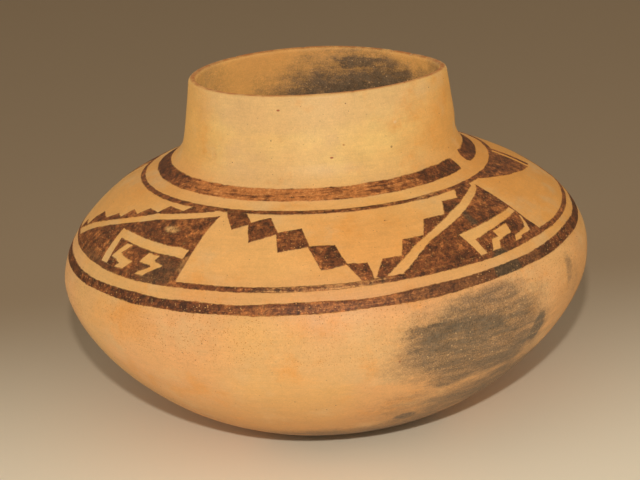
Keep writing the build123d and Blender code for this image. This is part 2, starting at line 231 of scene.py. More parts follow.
# The painted units turn once round the jar: angle of the drawing, its own angle, stretch and count of steps
BACK_UNITS = ((LEFT_UNIT, 144.0, 48.0 / 53.0, 5), (RIGHT_UNIT, 232.0, 50.0 / 45.5, 6))
BACK_CHAIN = (176.5, 1.055)  # turn from the front chain, and stretch
BACK_HANGING = (177.0, 22.0 / 32.0)
LAST_STEP = 0.75  # height of the step that meets the neck line, in steps
STEP_FOOT = 0.35  # where on the stripe a step of the stairs stands, in steps
STEP_LEAN, PEAK_LEAN = 2.2, 0.8  # lean of a step and of the stripe's top end, in degrees

# How far a painted ring wanders, and how far the neck line laps the motifs
FRAME_BAND_WANDER, FRAME_LINE_WANDER, NECK_LINE_WANDER = 0.5 * MM, 0.4 * MM, 0.35 * MM
NECK_LINE_LAP = 0.4 * MM
# Rounding of the neck band's open ends: its length in half widths, and the angles of its points
END_ROUND, END_TURNS = 0.7, (0.5, 1.1, 1.57, 2.0, 2.6)

# Rows round the lip, how far down a chip shows, the depths between which it is fresh, and what counts as a sharp edge
LIP_ROWS = 12
CHIP_MARK, FRESH_CHIP = 2 * MM, (0.25 * MM, 0.5 * MM)
SHARP_EDGE = radians(40)

# Shader sockets that aren't plain values, and the clay's inputs with the layers of the mesh that fill them
SOCKETS = {"Vector": "NodeSocketVector", "Color": "NodeSocketColor", "Under": "NodeSocketColor"}
CLAY_LAYERS = {"Inside": "inside", "Lip": "crown", "Chip": "chip"}
PATCH_EDGE = (1.3, 0.5)  # where a soft patch begins and is full, in half sizes
DOT_CORE = 0.55  # full part of a dot's radius

# Lamps, as width and place, the point that they face, and the tints of their light and of the sky
FRONT_LAMP = (0.016, (0.0, -0.57, 0.345))
LEFT_LAMP, RIGHT_LAMP = (0.9, (-1.4, -0.545, 0.5)), (0.9, (1.4, -0.545, 0.5))
LEFT_SHARE = 1.3  # power of the left lamp against the right one
LAMP_AIM = (0, 0, 0.07)
LAMP_TINT, SKY_TINT = (255, 248, 238), (255, 243, 222)


def linear(red, green, blue):
    """Colour for a shader from 0 to 255 screen values."""
    shares = (value / 255 for value in (red, green, blue))
    return tuple(s / 12.92 if s <= 0.04045 else ((s + 0.055) / 1.055) ** 2.4 for s in shares)


def size_of(name, description, millimetres):
    """Length property, written in millimetres."""
    return FloatProperty(name=name, description=description, default=millimetres * MM, unit="LENGTH")


def turn_of(name, description, angle):
    """Angle property, written in degrees."""
    return FloatProperty(name=name, description=description, default=radians(angle), subtype="ANGLE", unit="ROTATION")


def colour_of(name, description, *screen):
    """Colour property, written in screen values."""
    return FloatVectorProperty(
        name=name, description=description, default=linear(*screen), size=3, min=0, max=1, subtype="COLOR"
    )


class JarWall(bpy.types.PropertyGroup):
    """Sizes of the clay wall."""

    base_radius: size_of("Base radius", "Flat disc that the jar rests on", 40)
    belly_radius: size_of("Belly radius", "Widest ring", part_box("belly_coil_5")[1].x / MM)
    belly_height: size_of("Belly height", "Height of the widest ring", 67)
    neck_radius: size_of("Neck radius", "Corner where the shoulder and the neck would meet", 60)
    neck_height: size_of("Neck height", "Height of that corner", 113.3)
    shoulder_slope: turn_of("Shoulder slope", "Slope of the shoulder at the foot of the neck", 20)
    rim_radius: size_of("Rim radius", "Outside of the lip", 55.4)
    rim_height: size_of("Rim height", "Top of the lip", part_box("rim_coil")[1].z / MM)
    base_run: size_of("Base run", "How far the belly leaves the base level", 32)
    belly_rise: size_of("Belly rise", "How far the belly stays upright below the widest ring", 25)
    shoulder_rise: size_of("Shoulder rise", "How far the shoulder stays upright above it", 18)
    shoulder_run: size_of("Shoulder run", "How far the shoulder keeps its slope", 24)
    root_run: size_of("Root run", "Reach of the neck's curve on the shoulder", 13)
    root_rise: size_of("Root rise", "Reach of that curve on the neck", 9)
    floor: size_of("Floor", "Thickness of the floor", 7)
    wall: size_of("Wall", "Thickness of the wall", 5.5)
    lip: size_of("Lip", "Thickness of the lip", 3.5)
    base_reach: size_of("Base reach", "From the resting disc to the first joint", 34)
    rim_coil: size_of("Rim coil", "From the last joint to the top of the lip", 9)
    lap: turn_of("Lap", "Lean of each luted joint across the wall", 35)
    row: size_of("Row", "Spacing of the wall's rows of faces", 1.5)
    steps: IntProperty(name="Steps", description="Faces once round the wall", default=288)
    swell: size_of("Swell", "Slow unevenness of the hand-built wall", 0.45)
    facets: size_of("Facets", "Marks of the polishing stone", 0.10)
    ridges: size_of("Ridges", "Coil ridges left inside", 0.5)
    scrapes: size_of("Scrapes", "Scrape marks inside", 0.35)
    neck_lean: size_of("Neck lean", "How far the rim stands off the axis", 2.0)
    skew: size_of("Skew", "How far the top of the shoulder is higher on the left and lower on the right", 1.0)
    shoulder_lean: size_of("Shoulder lean", "How far the shoulder stands off the axis", 0.8)
    rim_drop: size_of("Rim drop", "How far all of the rim lies under the top of its coil", 0.55)
    rim_dip: size_of("Rim dip", "How far the rim dips further on its low side", 2.6)
    dip_angle: turn_of("Dip angle", "Where the rim is lowest", 117)
    rim_wave: size_of("Rim wave", "Unevenness of the rim's height", 0.7)


class JarPaint(bpy.types.PropertyGroup):
    """Sizes of the paint."""

    film: size_of("Film", "Height of the paint over the clay", 0.14)
    line_film: size_of("Line film", "Height of the framing rings, which lie over the ends of the motifs", 0.2)
    bed: size_of("Bed", "How far the paint's underside lies in the clay", 0.1)
    feather: size_of("Feather", "Width of the thin edge of the paint", 0.45)
    mesh: size_of("Mesh", "Spacing of the paint's faces", 2.2)
    stroke: size_of("Stroke", "Spacing of points along an outline", 0.9)
    shake: size_of("Shake", "Slow wander of a hand-drawn edge", 0.3)
    ragged: size_of("Ragged", "Fine unevenness of a brushed edge", 0.2)
    frame_band_rise: size_of("Frame band rise", "From the widest ring to the frame band", 13)
    frame_band_width: size_of("Frame band width", "Width of the frame band", 4.6)
    frame_gap: size_of("Frame gap", "Bare clay between the two frame rings", 4.1)
    frame_line_width: size_of("Frame line width", "Width of the frame line", 2.5)
    frame_shift: size_of("Frame shift", "How far the frame rings are off the axis", 1.4)
    neck_line_drop: size_of("Neck line drop", "From the foot of the neck's curve to the neck line", 2.8)
    neck_line_width: size_of("Neck line width", "Width of the neck line", 2.4)
    neck_shift: size_of("Neck shift", "How far the neck's paint is drawn higher on the right", 1.5)
    neck_band_rise: size_of("Neck band rise", "From that foot up to the neck band", 2.6)
    neck_band_width: size_of("Neck band width", "Width of the neck band", 7)
    break_angle: turn_of("Break angle", "Where the neck band is left open", 63)
    break_width: turn_of("Break width", "Width of that opening", 11)


class JarColours(bpy.types.PropertyGroup):
    """Colours of the clay, the smoke and the paint."""

    ochre: colour_of("Ochre", "Main colour of the clay", 223, 176, 109)
    peach: colour_of("Peach", "Pinker blushes of the clay", 224, 170, 112)
    pale: colour_of("Pale", "Yellower clay of the neck", 231, 199, 127)
    warm: colour_of("Warm", "More orange clay of the shoulder", 227, 175, 102)
    low: colour_of("Low", "Duller clay under the belly", 202, 147, 86)
    gold: colour_of("Gold", "Deep yellow areas of the clay", 222, 152, 66)
    bloom: colour_of("Bloom", "Greyer, paler areas of the clay", 216, 178, 124)
    # Partly the clay's own tone and partly painted light, lighter to make up for the shade inside
    lining_with_painted_light: colour_of("Lining", "Clay inside the jar", 238, 178, 96)
    lip: colour_of("Lip", "Worn clay of the lip", 182, 112, 54)
    chip: colour_of("Chip", "Fresh clay in a chip", 226, 190, 138)
    speck: colour_of("Speck", "Dark grit in the clay", 104, 66, 38)
    freckle: colour_of("Freckle", "Rusty grit in the clay", 188, 124, 54)
    rust: colour_of("Rust", "Few larger red grains in the clay", 160, 74, 36)
    smoke: colour_of("Smoke", "Thin grey of a fire cloud", 146, 114, 80)
    soot: colour_of("Soot", "Dense grey of a fire cloud", 86, 77, 64)
    paint: colour_of("Paint", "Brown mineral paint", 116, 66, 35)
    paint_dark: colour_of("Dark paint", "Paint where it lies thick", 78, 46, 27)
    paint_thin: colour_of("Thin paint", "Paint where it is brushed thin", 188, 119, 62)
    paint_black: colour_of("Black paint", "Paint where smoke has blackened it", 86, 66, 45)


class JarStage(bpy.types.PropertyGroup):
    """Floor, backdrop, light and camera."""

    floor: colour_of("Floor", "Pale floor", 252, 241, 218)
    # The backdrop colour is also painted shade on the floor behind the jar and far off
    backdrop: colour_of("Backdrop", "Upper part of the backdrop", 185, 162, 134)
    front: FloatProperty(name="Front", description="Power of the lamp above the camera", default=1.98, unit="POWER")
    fill: FloatProperty(name="Fill", description="Power of the side lamps", default=2.06, unit="POWER")
    sky: FloatProperty(name="Sky", description="Strength of the light from all round", default=0.33)
    eye: FloatVectorProperty(
        name="Eye", description="Place of the camera", default=(-0.0003, -0.5705, 0.2590), subtype="TRANSLATION"
    )
    aim: FloatVectorProperty(
        name="Aim", description="Point that the camera looks at", default=(-0.0019, 0.0, 0.0709), subtype="TRANSLATION"
    )
    roll: turn_of("Roll", "Turn of the camera about its view", 4.02)
    lens: FloatProperty(name="Lens", description="Focal length in millimetres", default=75.94)


def blend(value, low, high):
    """Smooth share of the way from low to high."""
    t = min(max((value - low) / (high - low), 0.0), 1.0)
    return t * t * (3 - 2 * t)


def stretched(spot, waves):
    """Point for noise that is stretched along the axes."""
    return Vector([part * count for part, count in zip(spot, waves)])


class Wall:
    """The jar's wall, addressed by its angle and by its run, the length along the outside from the resting disc.

    A run below zero is on the resting disc."""

    SPAN_POINTS = 121

    # Waves to the metre of the slow and quick swell, the stone's facets, the scrape marks and the ridges' wander
    SLOW_SWELL, QUICK_SWELL = 21.0, 47.0
    FACETS, SCRAPES = (26, 26, 150), (22, 22, 210)
    RIDGE_WANDER = 18.0
    COIL_PITCH = 17 * MM
    # Lengths over which unevenness comes or goes: at the base, on the floor inside and up the neck inside
    BASE_FADE, FLOOR_FADE, RIDGE_FADE = 16 * MM, (-30 * MM, 10 * MM), 12 * MM
    # Heights over the foot of the neck by which it leans and from which the rim is low, and the reach of a chip
    LEAN_RISE, RIM_RISE, CHIP_REACH = 20 * MM, 8 * MM, 2.2 * MM
    # Heights between which the shoulder is skewed and between which it leans
    SKEW_RISE, SKEW_END = (84 * MM, 103 * MM), 122 * MM
    SHOULDER_RISE, SHOULDER_FALL = (66 * MM, 80 * MM), (97 * MM, 107 * MM)

    def __init__(self, size):
        self.size = size
        corner = Vector((size.neck_radius, size.neck_height))
        slope = Vector((cos(size.shoulder_slope), -sin(size.shoulder_slope)))
        base = Vector((size.base_radius, 0))
        widest = Vector((size.belly_radius, size.belly_height))
        foot = corner + slope * size.root_run
        lip = Vector((size.rim_radius, size.rim_height - size.lip / 2))
        head = corner + (lip - corner).normalized() * size.root_rise
        spans = (
            (base, base + Vector((size.base_run, 0)), widest - Vector((0, size.belly_rise)), widest),
            (widest, widest + Vector((0, size.shoulder_rise)), foot + slope * size.shoulder_run, foot),
            (foot, foot.lerp(corner, 2 / 3), head.lerp(corner, 2 / 3), head),
            (head, head.lerp(lip, 1 / 3), head.lerp(lip, 2 / 3), lip),
        )
        self.points = [base]
        self.lengths = [0.0]
        ends = []
        for span in spans:
            for point in geometry.interpolate_bezier(*span, self.SPAN_POINTS)[1:]:
                self.lengths.append(self.lengths[-1] + (point - self.points[-1]).length)
                self.points.append(point)
            ends.append(self.lengths[-1])
        self.belly_end, self.shoulder_end, self.root_end, self.neck_end = ends
        self.foot_height = foot.y
        steps = [b - a for a, b in zip(self.points, self.points[1:])]
        steps = [steps[0]] + [a + b for a, b in zip(steps, steps[1:])] + [steps[-1]]
        self.normals = [Vector((step.y, -step.x)).normalized() for step in steps]
        # The painted part, from the widest ring to the neck, with its radii falling
        start = bisect_right(self.lengths, self.belly_end) - 1
        self.top_radii = [-point.x for point in self.points[start:]]
        self.top_runs = self.lengths[start:]

    def outside(self, run):
        """Point of the outer wall in section, as radius and height, and its outward normal."""
        if run <= 0:
            return Vector((self.size.base_radius + run, 0)), Vector((0, -1))
        k = min(bisect_right(self.lengths, run), len(self.lengths) - 1)
        t = (run - self.lengths[k - 1]) / (self.lengths[k] - self.lengths[k - 1])
        return self.points[k - 1].lerp(self.points[k], t), self.normals[k - 1].lerp(self.normals[k], t).normalized()

    def thickness(self, run):
        """Thickness of the clay behind a point of the outer wall."""
        size = self.size
        if run < self.belly_end:
            return size.floor + (size.wall - size.floor) * max(run, 0.0) / self.belly_end
        share = max(run - self.root_end, 0.0) / (self.neck_end - self.root_end)
        return size.wall + (size.lip - size.wall) * share

    def run_at(self, radius):
        """Run of the point on the shoulder or the neck's curve at a plan radius."""
        k = min(max(bisect_right(self.top_radii, -radius), 1), len(self.top_radii) - 1)
        span = self.top_radii[k] - self.top_radii[k - 1]
        t = (-radius - self.top_radii[k - 1]) / span if span else 0.0
        return self.top_runs[k - 1] + t * (self.top_runs[k] - self.top_runs[k - 1])

    def radius_at(self, run):
        """Plan radius at a run."""
        return self.outside(run)[0].x

    def uneven(self, spot, run, inside):
        """How far hand building moves a point along its normal, on the outside never outwards."""
        size = self.size
        slow, quick = noise.noise(spot * self.SLOW_SWELL), noise.noise(spot * self.QUICK_SWELL + UP)
        swell = size.swell * (0.5 * slow + 0.25 * quick - 0.42)
        facets = size.facets * (noise.noise(stretched(spot, self.FACETS)) - 0.5)
        outer = min(swell + facets, 0.0) * blend(run, 0.0, self.BASE_FADE)
        if inside <= 0:
            return outer
        ridge = size.ridges * cos(2 * pi * run / self.COIL_PITCH + 2.5 * noise.noise(spot * self.RIDGE_WANDER))
        ridge *= 1 - 0.75 * blend(spot.z, self.foot_height, self.foot_height + self.RIDGE_FADE)
        scrape = size.scrapes * noise.noise(stretched(spot, self.SCRAPES) + UP * 7)
        rough = blend(run, *self.FLOOR_FADE) * inside
        return outer + (ridge + scrape) * rough * 0.6

    def chip(self, angle):
        """Depth of the chips in the lip at an angle."""
        depth = 0.0
        for place, width, deep in LIP_CHIPS:
            away = (angle - radians(place) + pi) % (2 * pi) - pi
            depth += deep * MM * exp(-((away / radians(width)) ** 2))
        return depth

    def place(self, angle, run, inside=0.0, crown=0.0, lift=0.0):
        """Point of the uneven wall: inside is 0 to 1 across the clay, crown is the height of the lip's round."""
        size, foot = self.size, self.foot_height
        point, normal = self.outside(run)
        flat = Vector((sin(angle), -cos(angle), 0))
        out = flat * normal.x + UP * normal.y
        along = flat * -normal.y + UP * normal.x
        spot = flat * point.x + UP * point.y - out * (self.thickness(run) * inside)
        rise = 0.6 * blend(spot.z, foot, foot + self.LEAN_RISE)
        rise += 0.4 * blend(spot.z, foot, size.rim_height)
        wave = size.rim_wave * (0.5 + 0.5 * noise.noise(Vector((sin(angle), cos(angle), 3.7)) * 1.3))
        low = size.rim_drop + size.rim_dip * ((1 + cos(angle - size.dip_angle)) / 2) ** 6
        top = blend(spot.z, foot + self.RIM_RISE, size.rim_height)
        dent = self.chip(angle) * blend(run, self.neck_end - self.CHIP_REACH, self.neck_end) if top > 0.5 else 0.0
        shift = self.uneven(spot, run, inside)
        spot = spot + out * (shift + lift - dent * (0.6 - 0.6 * inside)) + along * (crown - dent * (crown > 0))
        askew = blend(spot.z, *self.SKEW_RISE) * (1 - blend(spot.z, foot, self.SKEW_END))
        lean = blend(spot.z, *self.SHOULDER_RISE) * (1 - blend(spot.z, *self.SHOULDER_FALL))
        aside = size.neck_lean * rise + size.shoulder_lean * lean
        return spot + Vector((aside, 0, -(wave + low) * top - size.skew * sin(angle) * askew))

    def joints(self):
        """Runs of the luted joints, from the base to the rim."""
        size = self.size
        belly, shoulder = len(BELLY_COILS), len(SHOULDER_COILS)
        runs = [size.base_reach + (self.belly_end - size.base_reach) * n / belly for n in range(belly + 1)]
        rise = self.shoulder_end - self.belly_end
        runs += [self.belly_end + rise * n / shoulder for n in range(1, shoulder + 1)]
        rim = self.neck_end - (size.rim_coil - size.lip / 2)
        return runs + [(self.shoulder_end + rim) / 2, rim]


def rows_between(low, high, spacing):
    """Evenly spaced runs, with one close row inside each end so that neighbouring courses shade as one."""
    count = max(ceil((high - low) / spacing), 2)
    close = 0.15 * MM
    runs = [low + (high - low) * n / count for n in range(count + 1)]
    return [runs[0], low + close] + runs[1:-1] + [high - close, runs[-1]]


def mend(bm, gap):
    """Merge points that meet, then turn the faces outwards."""
    bmesh.ops.remove_doubles(bm, verts=bm.verts[:], dist=gap)
    bmesh.ops.recalc_face_normals(bm, faces=bm.faces[:])


def turned(labels, rows, spot, steps, gap, closed=True):
    """Mesh turned round the axis from a section. A row holds a point's values for the labels, and spot places it."""
    bm = bmesh.new()
    layers = [bm.verts.layers.float.new(label) for label in labels]
    verts = []
    for row in rows:
        verts.append(bm.verts.new(spot(*row)))
        for layer, value in zip(layers, row):
            verts[-1][layer] = value
    pairs = list(zip(verts, verts[1:] + verts[:1]))
    edges = [bm.edges.new(pair) for pair in (pairs if closed else pairs[:-1])]
    bmesh.ops.spin(
        bm, geom=verts + edges, cent=(0, 0, 0), axis=UP, dvec=(0, 0, 0), angle=2 * pi, steps=steps,
        use_merge=True, use_normal_flip=False, use_duplicate=False,
    )
    mend(bm, gap)
    return bm


def turned_course(wall, low, high, steps, ends="joints"):
    """One course of clay, turned round the axis from its section and then made uneven.

    ends is joints for a ring between two joints, disc for the base and lip for the rim."""
    size = wall.size
    lap_low = low - wall.thickness(low) * tan(size.lap)
    lap_high = high - wall.thickness(high) * tan(size.lap)
    crowns = []
    if ends == "lip":
        lap_high = high
        turns = [pi * n / LIP_ROWS for n in range(1, LIP_ROWS)]
        crowns = [(high, (1 - cos(turn)) / 2, sin(turn) * size.lip / 2) for turn in turns]
    if ends == "disc":
        lap_low = low
    outer = [(run, 0.0, 0.0) for run in rows_between(low, high, size.row)]
    inner = [(run, 1.0, 0.0) for run in reversed(rows_between(lap_low, lap_high, size.row))]

    def section_spot(run, inside, crown):
        point, normal = wall.outside(run)
        point = point - normal * wall.thickness(run) * inside + Vector((-normal.y, normal.x)) * crown
        return 0, -point.x, point.y

    labels = ("run", "inside", "crown")
    bm = turned(labels, outer + crowns + inner, section_spot, steps, 1e-6, ends != "disc")
    chip = bm.verts.layers.float.new("chip")
    run, inside, crown = (bm.verts.layers.float[label] for label in labels)
    for vert in bm.verts:
        angle = atan2(vert.co.x, -vert.co.y)
        if ends == "lip" and vert[run] > high - CHIP_MARK:
            vert[chip] = blend(wall.chip(angle), *FRESH_CHIP)
        vert.co = wall.place(angle, vert[run], vert[inside], vert[crown])
        vert[crown] = vert[crown] / (size.lip / 2)
    for edge in bm.edges:
        edge.smooth = len(edge.link_faces) != 2 or edge.calc_face_angle() < SHARP_EDGE
    return bm


class Brush:
    """Places paint on the wall: outlines are drawn in plan, then cut, given thickness and laid on the clay."""

    SEED = 1  # of the unsteady hand
    # Waves to the metre of an unsteady edge, slow and fine, and of a ring drawn on a circle of 0.1 m radius
    SLOW_SHAKE, FINE_SHAKE = 150, 900
    RING_DRIFT, RING_SWELL, RING_SHAKE, RING_RAGGED = 35, 60, 220, 950
    RING_STEPS = 720
    THIN_EDGE = 0.35  # height of the paint at its edge, as a share of the film
    MERGE = 1e-4  # millimetres

    def __init__(self, wall, paint):
        noise.seed_set(self.SEED)
        self.wall = wall
        self.paint = paint
        self.neck_line = wall.shoulder_end - paint.neck_line_drop - paint.neck_line_width
        self.frame_line = wall.belly_end + paint.frame_band_rise + paint.frame_band_width + paint.frame_gap
        self.neck_radius = wall.radius_at(self.neck_line)
        self.frame_radius = wall.radius_at(self.frame_line + paint.frame_line_width)

    def field(self, angle, share):
        """Plan point at an angle in degrees and a share of the way from the neck line to the frame line."""
        turn = radians(angle)
        near = self.neck_radius - self.neck_shift(turn)
        radius = near + share * (self.frame_radius - self.frame_shift(turn) - near)
        return Vector((radius * sin(turn), -radius * cos(turn), 0))

    def neck_shift(self, turn):
        """How far inwards the paint round the neck is drawn at an angle."""
        return self.paint.neck_shift * max(sin(turn), 0.0) ** 2

    def frame_shift(self, turn):
        """How far inwards the frame rings are drawn at an angle."""
        return self.paint.frame_shift * sin(turn)

    def shaken(self, point):
        """Plan point as an unsteady brush would put it."""
        slow = noise.noise_vector(point * self.SLOW_SHAKE) * self.paint.shake
        fine = noise.noise_vector(point * self.FINE_SHAKE) * self.paint.ragged
        return Vector((point.x + slow.x + fine.x, point.y + slow.y + fine.y, 0))

    def drawn(self, corners):
        """Points close together along a closed path of strokes between (angle, share) corners, shaken."""
        points = []
        for start, end in zip(corners, corners[1:] + corners[:1]):
            a, b = self.field(*start), self.field(*end)
            count = max(round((b - a).length / self.paint.stroke), 1)
            for n in range(count):
                t = n / count
                spot = self.field(start[0] + (end[0] - start[0]) * t, start[1] + (end[1] - start[1]) * t)
                points.append(self.shaken(spot))
        return points

    def film(self, outlines):
        """Paint laid on the wall. Each outline is a list of closed plan loops, the shape and then its holes."""
        bm = bmesh.new()
        cover = bm.verts.layers.float.new("cover")
        top = bm.verts.layers.float.new("top")
        for loops in outlines:
            self.stencil(bm, loops, cover)
        mend(bm, self.MERGE)
        raised = bmesh.ops.extrude_face_region(bm, geom=bm.faces[:], use_keep_orig=True)
        for item in raised["geom"]:
            if isinstance(item, bmesh.types.BMVert):
                item[top] = 1.0
                item.co.z = 1.0
        bmesh.ops.recalc_face_normals(bm, faces=bm.faces[:])
        for vert in bm.verts:
            angle = atan2(vert.co.x, -vert.co.y)
            run = self.wall.run_at(hypot(vert.co.x, vert.co.y) * MM)
            vert.co = self.wall.place(angle, run, lift=self.lift(vert[top], vert[cover], self.paint.film))
        return bm

    def lift(self, top, cover, film):
        """Height of a point of the paint over the clay."""
        return film * (self.THIN_EDGE + (1 - self.THIN_EDGE) * cover) if top > 0.5 else -self.paint.bed

    def stencil(self, bm, loops, cover):
        """One flat plan shape in millimetres, with a thin edge, sliced so that it can follow the round wall."""
        edges = []
        for points in loops:
            verts = [bm.verts.new(point / MM) for point in points]
            edges += [bm.edges.new(pair) for pair in zip(verts, verts[1:] + verts[:1])]
        outer = {vert for edge in edges for vert in edge.verts}
        filled = bmesh.ops.triangle_fill(bm, edges=edges, use_beauty=True)["geom"]
        shape = [item for item in filled if isinstance(item, bmesh.types.BMFace)]
        if not shape:
            raise RuntimeError("a painted outline made no face")
        rim = bmesh.ops.inset_region(
            bm, faces=shape, thickness=self.paint.feather / MM, use_boundary=True, use_even_offset=False
        )["faces"]
        faces = bmesh.ops.triangulate(bm, faces=shape + rim)["faces"]
        for vert in {vert for face in faces for vert in face.verts}:
            vert[cover] = 0.0 if vert in outer else 1.0
        geom = list({item for face in faces for item in (face, *face.edges, *face.verts)})
        for axis in (Vector((1, 0, 0)), Vector((0, 1, 0))):
            places = [point.dot(axis) for point in loops[0]]
            first = ceil(min(places) / self.paint.mesh)
            for n in range(first, floor(max(places) / self.paint.mesh) + 1):
                geom = bmesh.ops.bisect_plane(
                    bm, geom=geom, dist=self.MERGE, plane_co=axis * (n * self.paint.mesh / MM), plane_no=axis
                )["geom"]

    def ring(self, low, width, shift, wander):
        """Closed painted ring: low is the run of its lower edge, and shift tells how far inwards it is drawn."""
        radius = self.wall.radius_at(low + width / 2)
        middle = self.wall.run_at(radius)
        edge = 1 - 2 * self.paint.feather / width
        section = [(-1, 1, 0), (-edge, 1, 1), (-edge / 3, 1, 1), (edge / 3, 1, 1), (edge, 1, 1), (1, 1, 0)]
        section += [(1, 0, 0), (0, 0, 1), (-1, 0, 0)]

        def section_spot(across, top, cover):
            return 0, -radius + across * width / 2, top * MM

        labels = ("across", "top", "cover")
        bm = turned(labels, section, section_spot, self.RING_STEPS, 1e-7)
        across, top, cover = (bm.verts.layers.float[label] for label in labels)
        for vert in bm.verts:
            angle = atan2(vert.co.x, -vert.co.y)
            round_spot = Vector((sin(angle), cos(angle), middle * 40)) * 0.1
            drift = wander * noise.noise(round_spot * self.RING_DRIFT)
            swell = 1 + 0.22 * noise.noise(round_spot * self.RING_SWELL + UP)
            side = UP * (vert[across] * 3.0)
            rough = abs(vert[across]) * (
                0.7 * self.paint.shake * noise.noise(round_spot * self.RING_SHAKE + side)
                + 1.2 * self.paint.ragged * noise.noise(round_spot * self.RING_RAGGED + side)
            )
            run = self.wall.run_at(radius - shift(angle)) + drift + vert[across] * swell * width / 2 + rough
            vert.co = self.wall.place(angle, run, lift=self.lift(vert[top], vert[cover], self.paint.line_film))
        return bm


def moved(points, start, turn, stretch):
    """Drawing points with their angles stretched about a start angle and turned."""
    return tuple((start + turn + (angle - start) * stretch, share) for angle, share in points)


def moved_unit(unit, right, stretch, steps):
    """A painted unit at another place round the shoulder, with its own count of steps."""
    start, turn = unit["right"], right - unit["right"]
    copy = {name: moved(unit[name], start, turn, stretch) for name in ("stripe_top", "stripe_low", "edge")}
    copy["bare"] = tuple(moved(shape, start, turn, stretch) for shape in unit["bare"])
    stripe = copy["stripe_top"]

    def along_stripe(share):
        for (a, low), (b, high) in zip(stripe, stripe[1:]):
            if share <= high:
                return a + (b - a) * (share - low) / (high - low)
        return stripe[-1][0]

    drop = 1 / (steps + LAST_STEP)
    stairs = [(along_stripe(1.0), 1 - drop)]
    for n in range(1, steps + 1):
        low = 1 - n * drop
        foot = along_stripe(low + STEP_FOOT * drop)
        stairs += [(foot, low), (foot + STEP_LEAN, low - drop if n < steps else NECK)]
    copy["stairs"] = tuple(stairs)
    return copy


def painted_units():
    """The four painted units round the shoulder."""
    return [LEFT_UNIT, RIGHT_UNIT] + [moved_unit(*place) for place in BACK_UNITS]


def settings():
    """The wall and the brush, from the scene's settings."""
    scene = bpy.context.scene
    wall = Wall(scene.jar_wall)
    return wall, Brush(wall, scene.jar_paint)


def add_mesh(bm, name, material):
    """Make a finished mesh an object of the scene."""
    if not bm.faces:
        raise RuntimeError(f"{name} has no faces")
    for face in bm.faces:
        face.smooth = True
    mesh = bpy.data.meshes.new(name)
    bm.to_mesh(mesh)
    bm.free()
    mesh.materials.append(material)
    made = bpy.data.objects.new(name, mesh)
    bpy.context.scene.collection.objects.link(made)
    return made


def add_piece(bm, name, stands_for, material):
    """Make a finished mesh a piece that stands for a node of the frame."""
    piece = add_mesh(bm, name, material)
    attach(piece, BODY)
    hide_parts(stands_for)


def plug(made, inputs):
    """Fill a shader node's inputs, given by name or by place, with numbers, colours or other nodes' values."""
    for place, value in dict(inputs).items():
        if isinstance(value, Value):
            made.id_data.links.new(value.made.outputs[value.key], made.inputs[place])
        else:
            made.inputs[place].default_value = value


def node(tree, kind, inputs=(), key=0, **options):
    """Add a shader node and return one of the values that it puts out."""
    made = tree.nodes.new(kind)
    for name, option in options.items():
        setattr(made, name, option)
    plug(made, inputs)
    return Value(made, key)


class Value:
    """What a shader node puts out. Sums of values add nodes."""

    def __init__(self, made, key):
        self.made = made
        self.key = key
        self.tree = made.id_data

    def __getitem__(self, key):
        """Another value of the same node."""
        return Value(self.made, key)

    def math(self, operation, *others):
        """Result of a sum with other values or numbers."""
        return node(self.tree, "ShaderNodeMath", enumerate((self, *others)), operation=operation)

    __add__ = partialmethod(math, "ADD")
    __sub__ = partialmethod(math, "SUBTRACT")
    __mul__ = partialmethod(math, "MULTIPLY")
    __truediv__ = partialmethod(math, "DIVIDE")
    __lt__ = partialmethod(math, "LESS_THAN")
    __gt__ = partialmethod(math, "GREATER_THAN")

    def vector(self, operation, other):
        """Result of a sum of points."""
        return node(self.tree, "ShaderNodeVectorMath", {0: self, 1: other}, operation=operation)

    def __rsub__(self, other):
        return node(self.tree, "ShaderNodeMath", {0: other, 1: self}, operation="SUBTRACT")

    def ease(self, low, high, start=0.0, end=1.0):
        """Value mapped smoothly from low..high to start..end."""
        inputs = {"Value": self, "From Min": low, "From Max": high, "To Min": start, "To Max": end}
        return node(self.tree, "ShaderNodeMapRange", inputs, "Result", interpolation_type="SMOOTHSTEP")

    def between(self, rise, fall):
        """Mask that rises and falls again."""
        return self.ease(*rise) * self.ease(*fall)

    def mix(self, first, second):
        """Colour mixed from two by this value."""
        first, second = (c if isinstance(c, Value) else (*c, 1.0) for c in (first, second))
        return node(self.tree, "ShaderNodeMix", {0: self, 6: first, 7: second}, 2, data_type="RGBA")

    def shaded(self, shade):
        """Colour made lighter or darker by a value."""
        grey = node(self.tree, "ShaderNodeCombineXYZ", enumerate((shade, shade, shade)))
        return node(self.tree, "ShaderNodeMix", {0: 1.0, 6: self, 7: grey}, 2, data_type="RGBA", blend_type="MULTIPLY")

    def grain(self, waves, detail, rough):
        """Noise from 0 to 1 at this point. waves is a number, or three numbers that stretch the pattern."""
        if isinstance(waves, tuple):
            return self.vector("MULTIPLY", waves).grain(1.0, detail, rough)
        inputs = {"Vector": self, "Scale": waves, "Detail": detail, "Roughness": rough}
        return node(self.tree, "ShaderNodeTexNoise", inputs, "Fac")

    def dots(self, cells, radius, chance):
        """Mask of small round dots, one in some of the cells of a pattern."""
        away = node(self.tree, "ShaderNodeTexVoronoi", {"Vector": self, "Scale": cells}, "Distance")
        pick = node(self.tree, "ShaderNodeSeparateColor", {0: away["Color"]})
        return away.ease(radius, radius * DOT_CORE) * (pick < chance)


def most(values):
    """Largest of several values."""
    return reduce(lambda first, second: first.math("MAXIMUM", second), values)


def weighed(parts, shares):
    """Sum of named values, each times its share."""
    return reduce(add, (parts[name] * share for name, share in shares.items()))


def new_group(name, inputs, outputs):
    """Empty shader group with named sockets. Returns its tree and what it is given."""
    tree = bpy.data.node_groups.new(name, "ShaderNodeTree")
    for direction, labels in (("INPUT", inputs), ("OUTPUT", outputs)):
        for label in labels:
            tree.interface.new_socket(label, in_out=direction, socket_type=SOCKETS.get(label, "NodeSocketFloat"))
    return tree, node(tree, "NodeGroupInput")


def use_group(tree, name, inputs):
    """Put a shared group into a tree."""
    return node(tree, "ShaderNodeGroup", inputs, node_tree=bpy.data.node_groups[name])


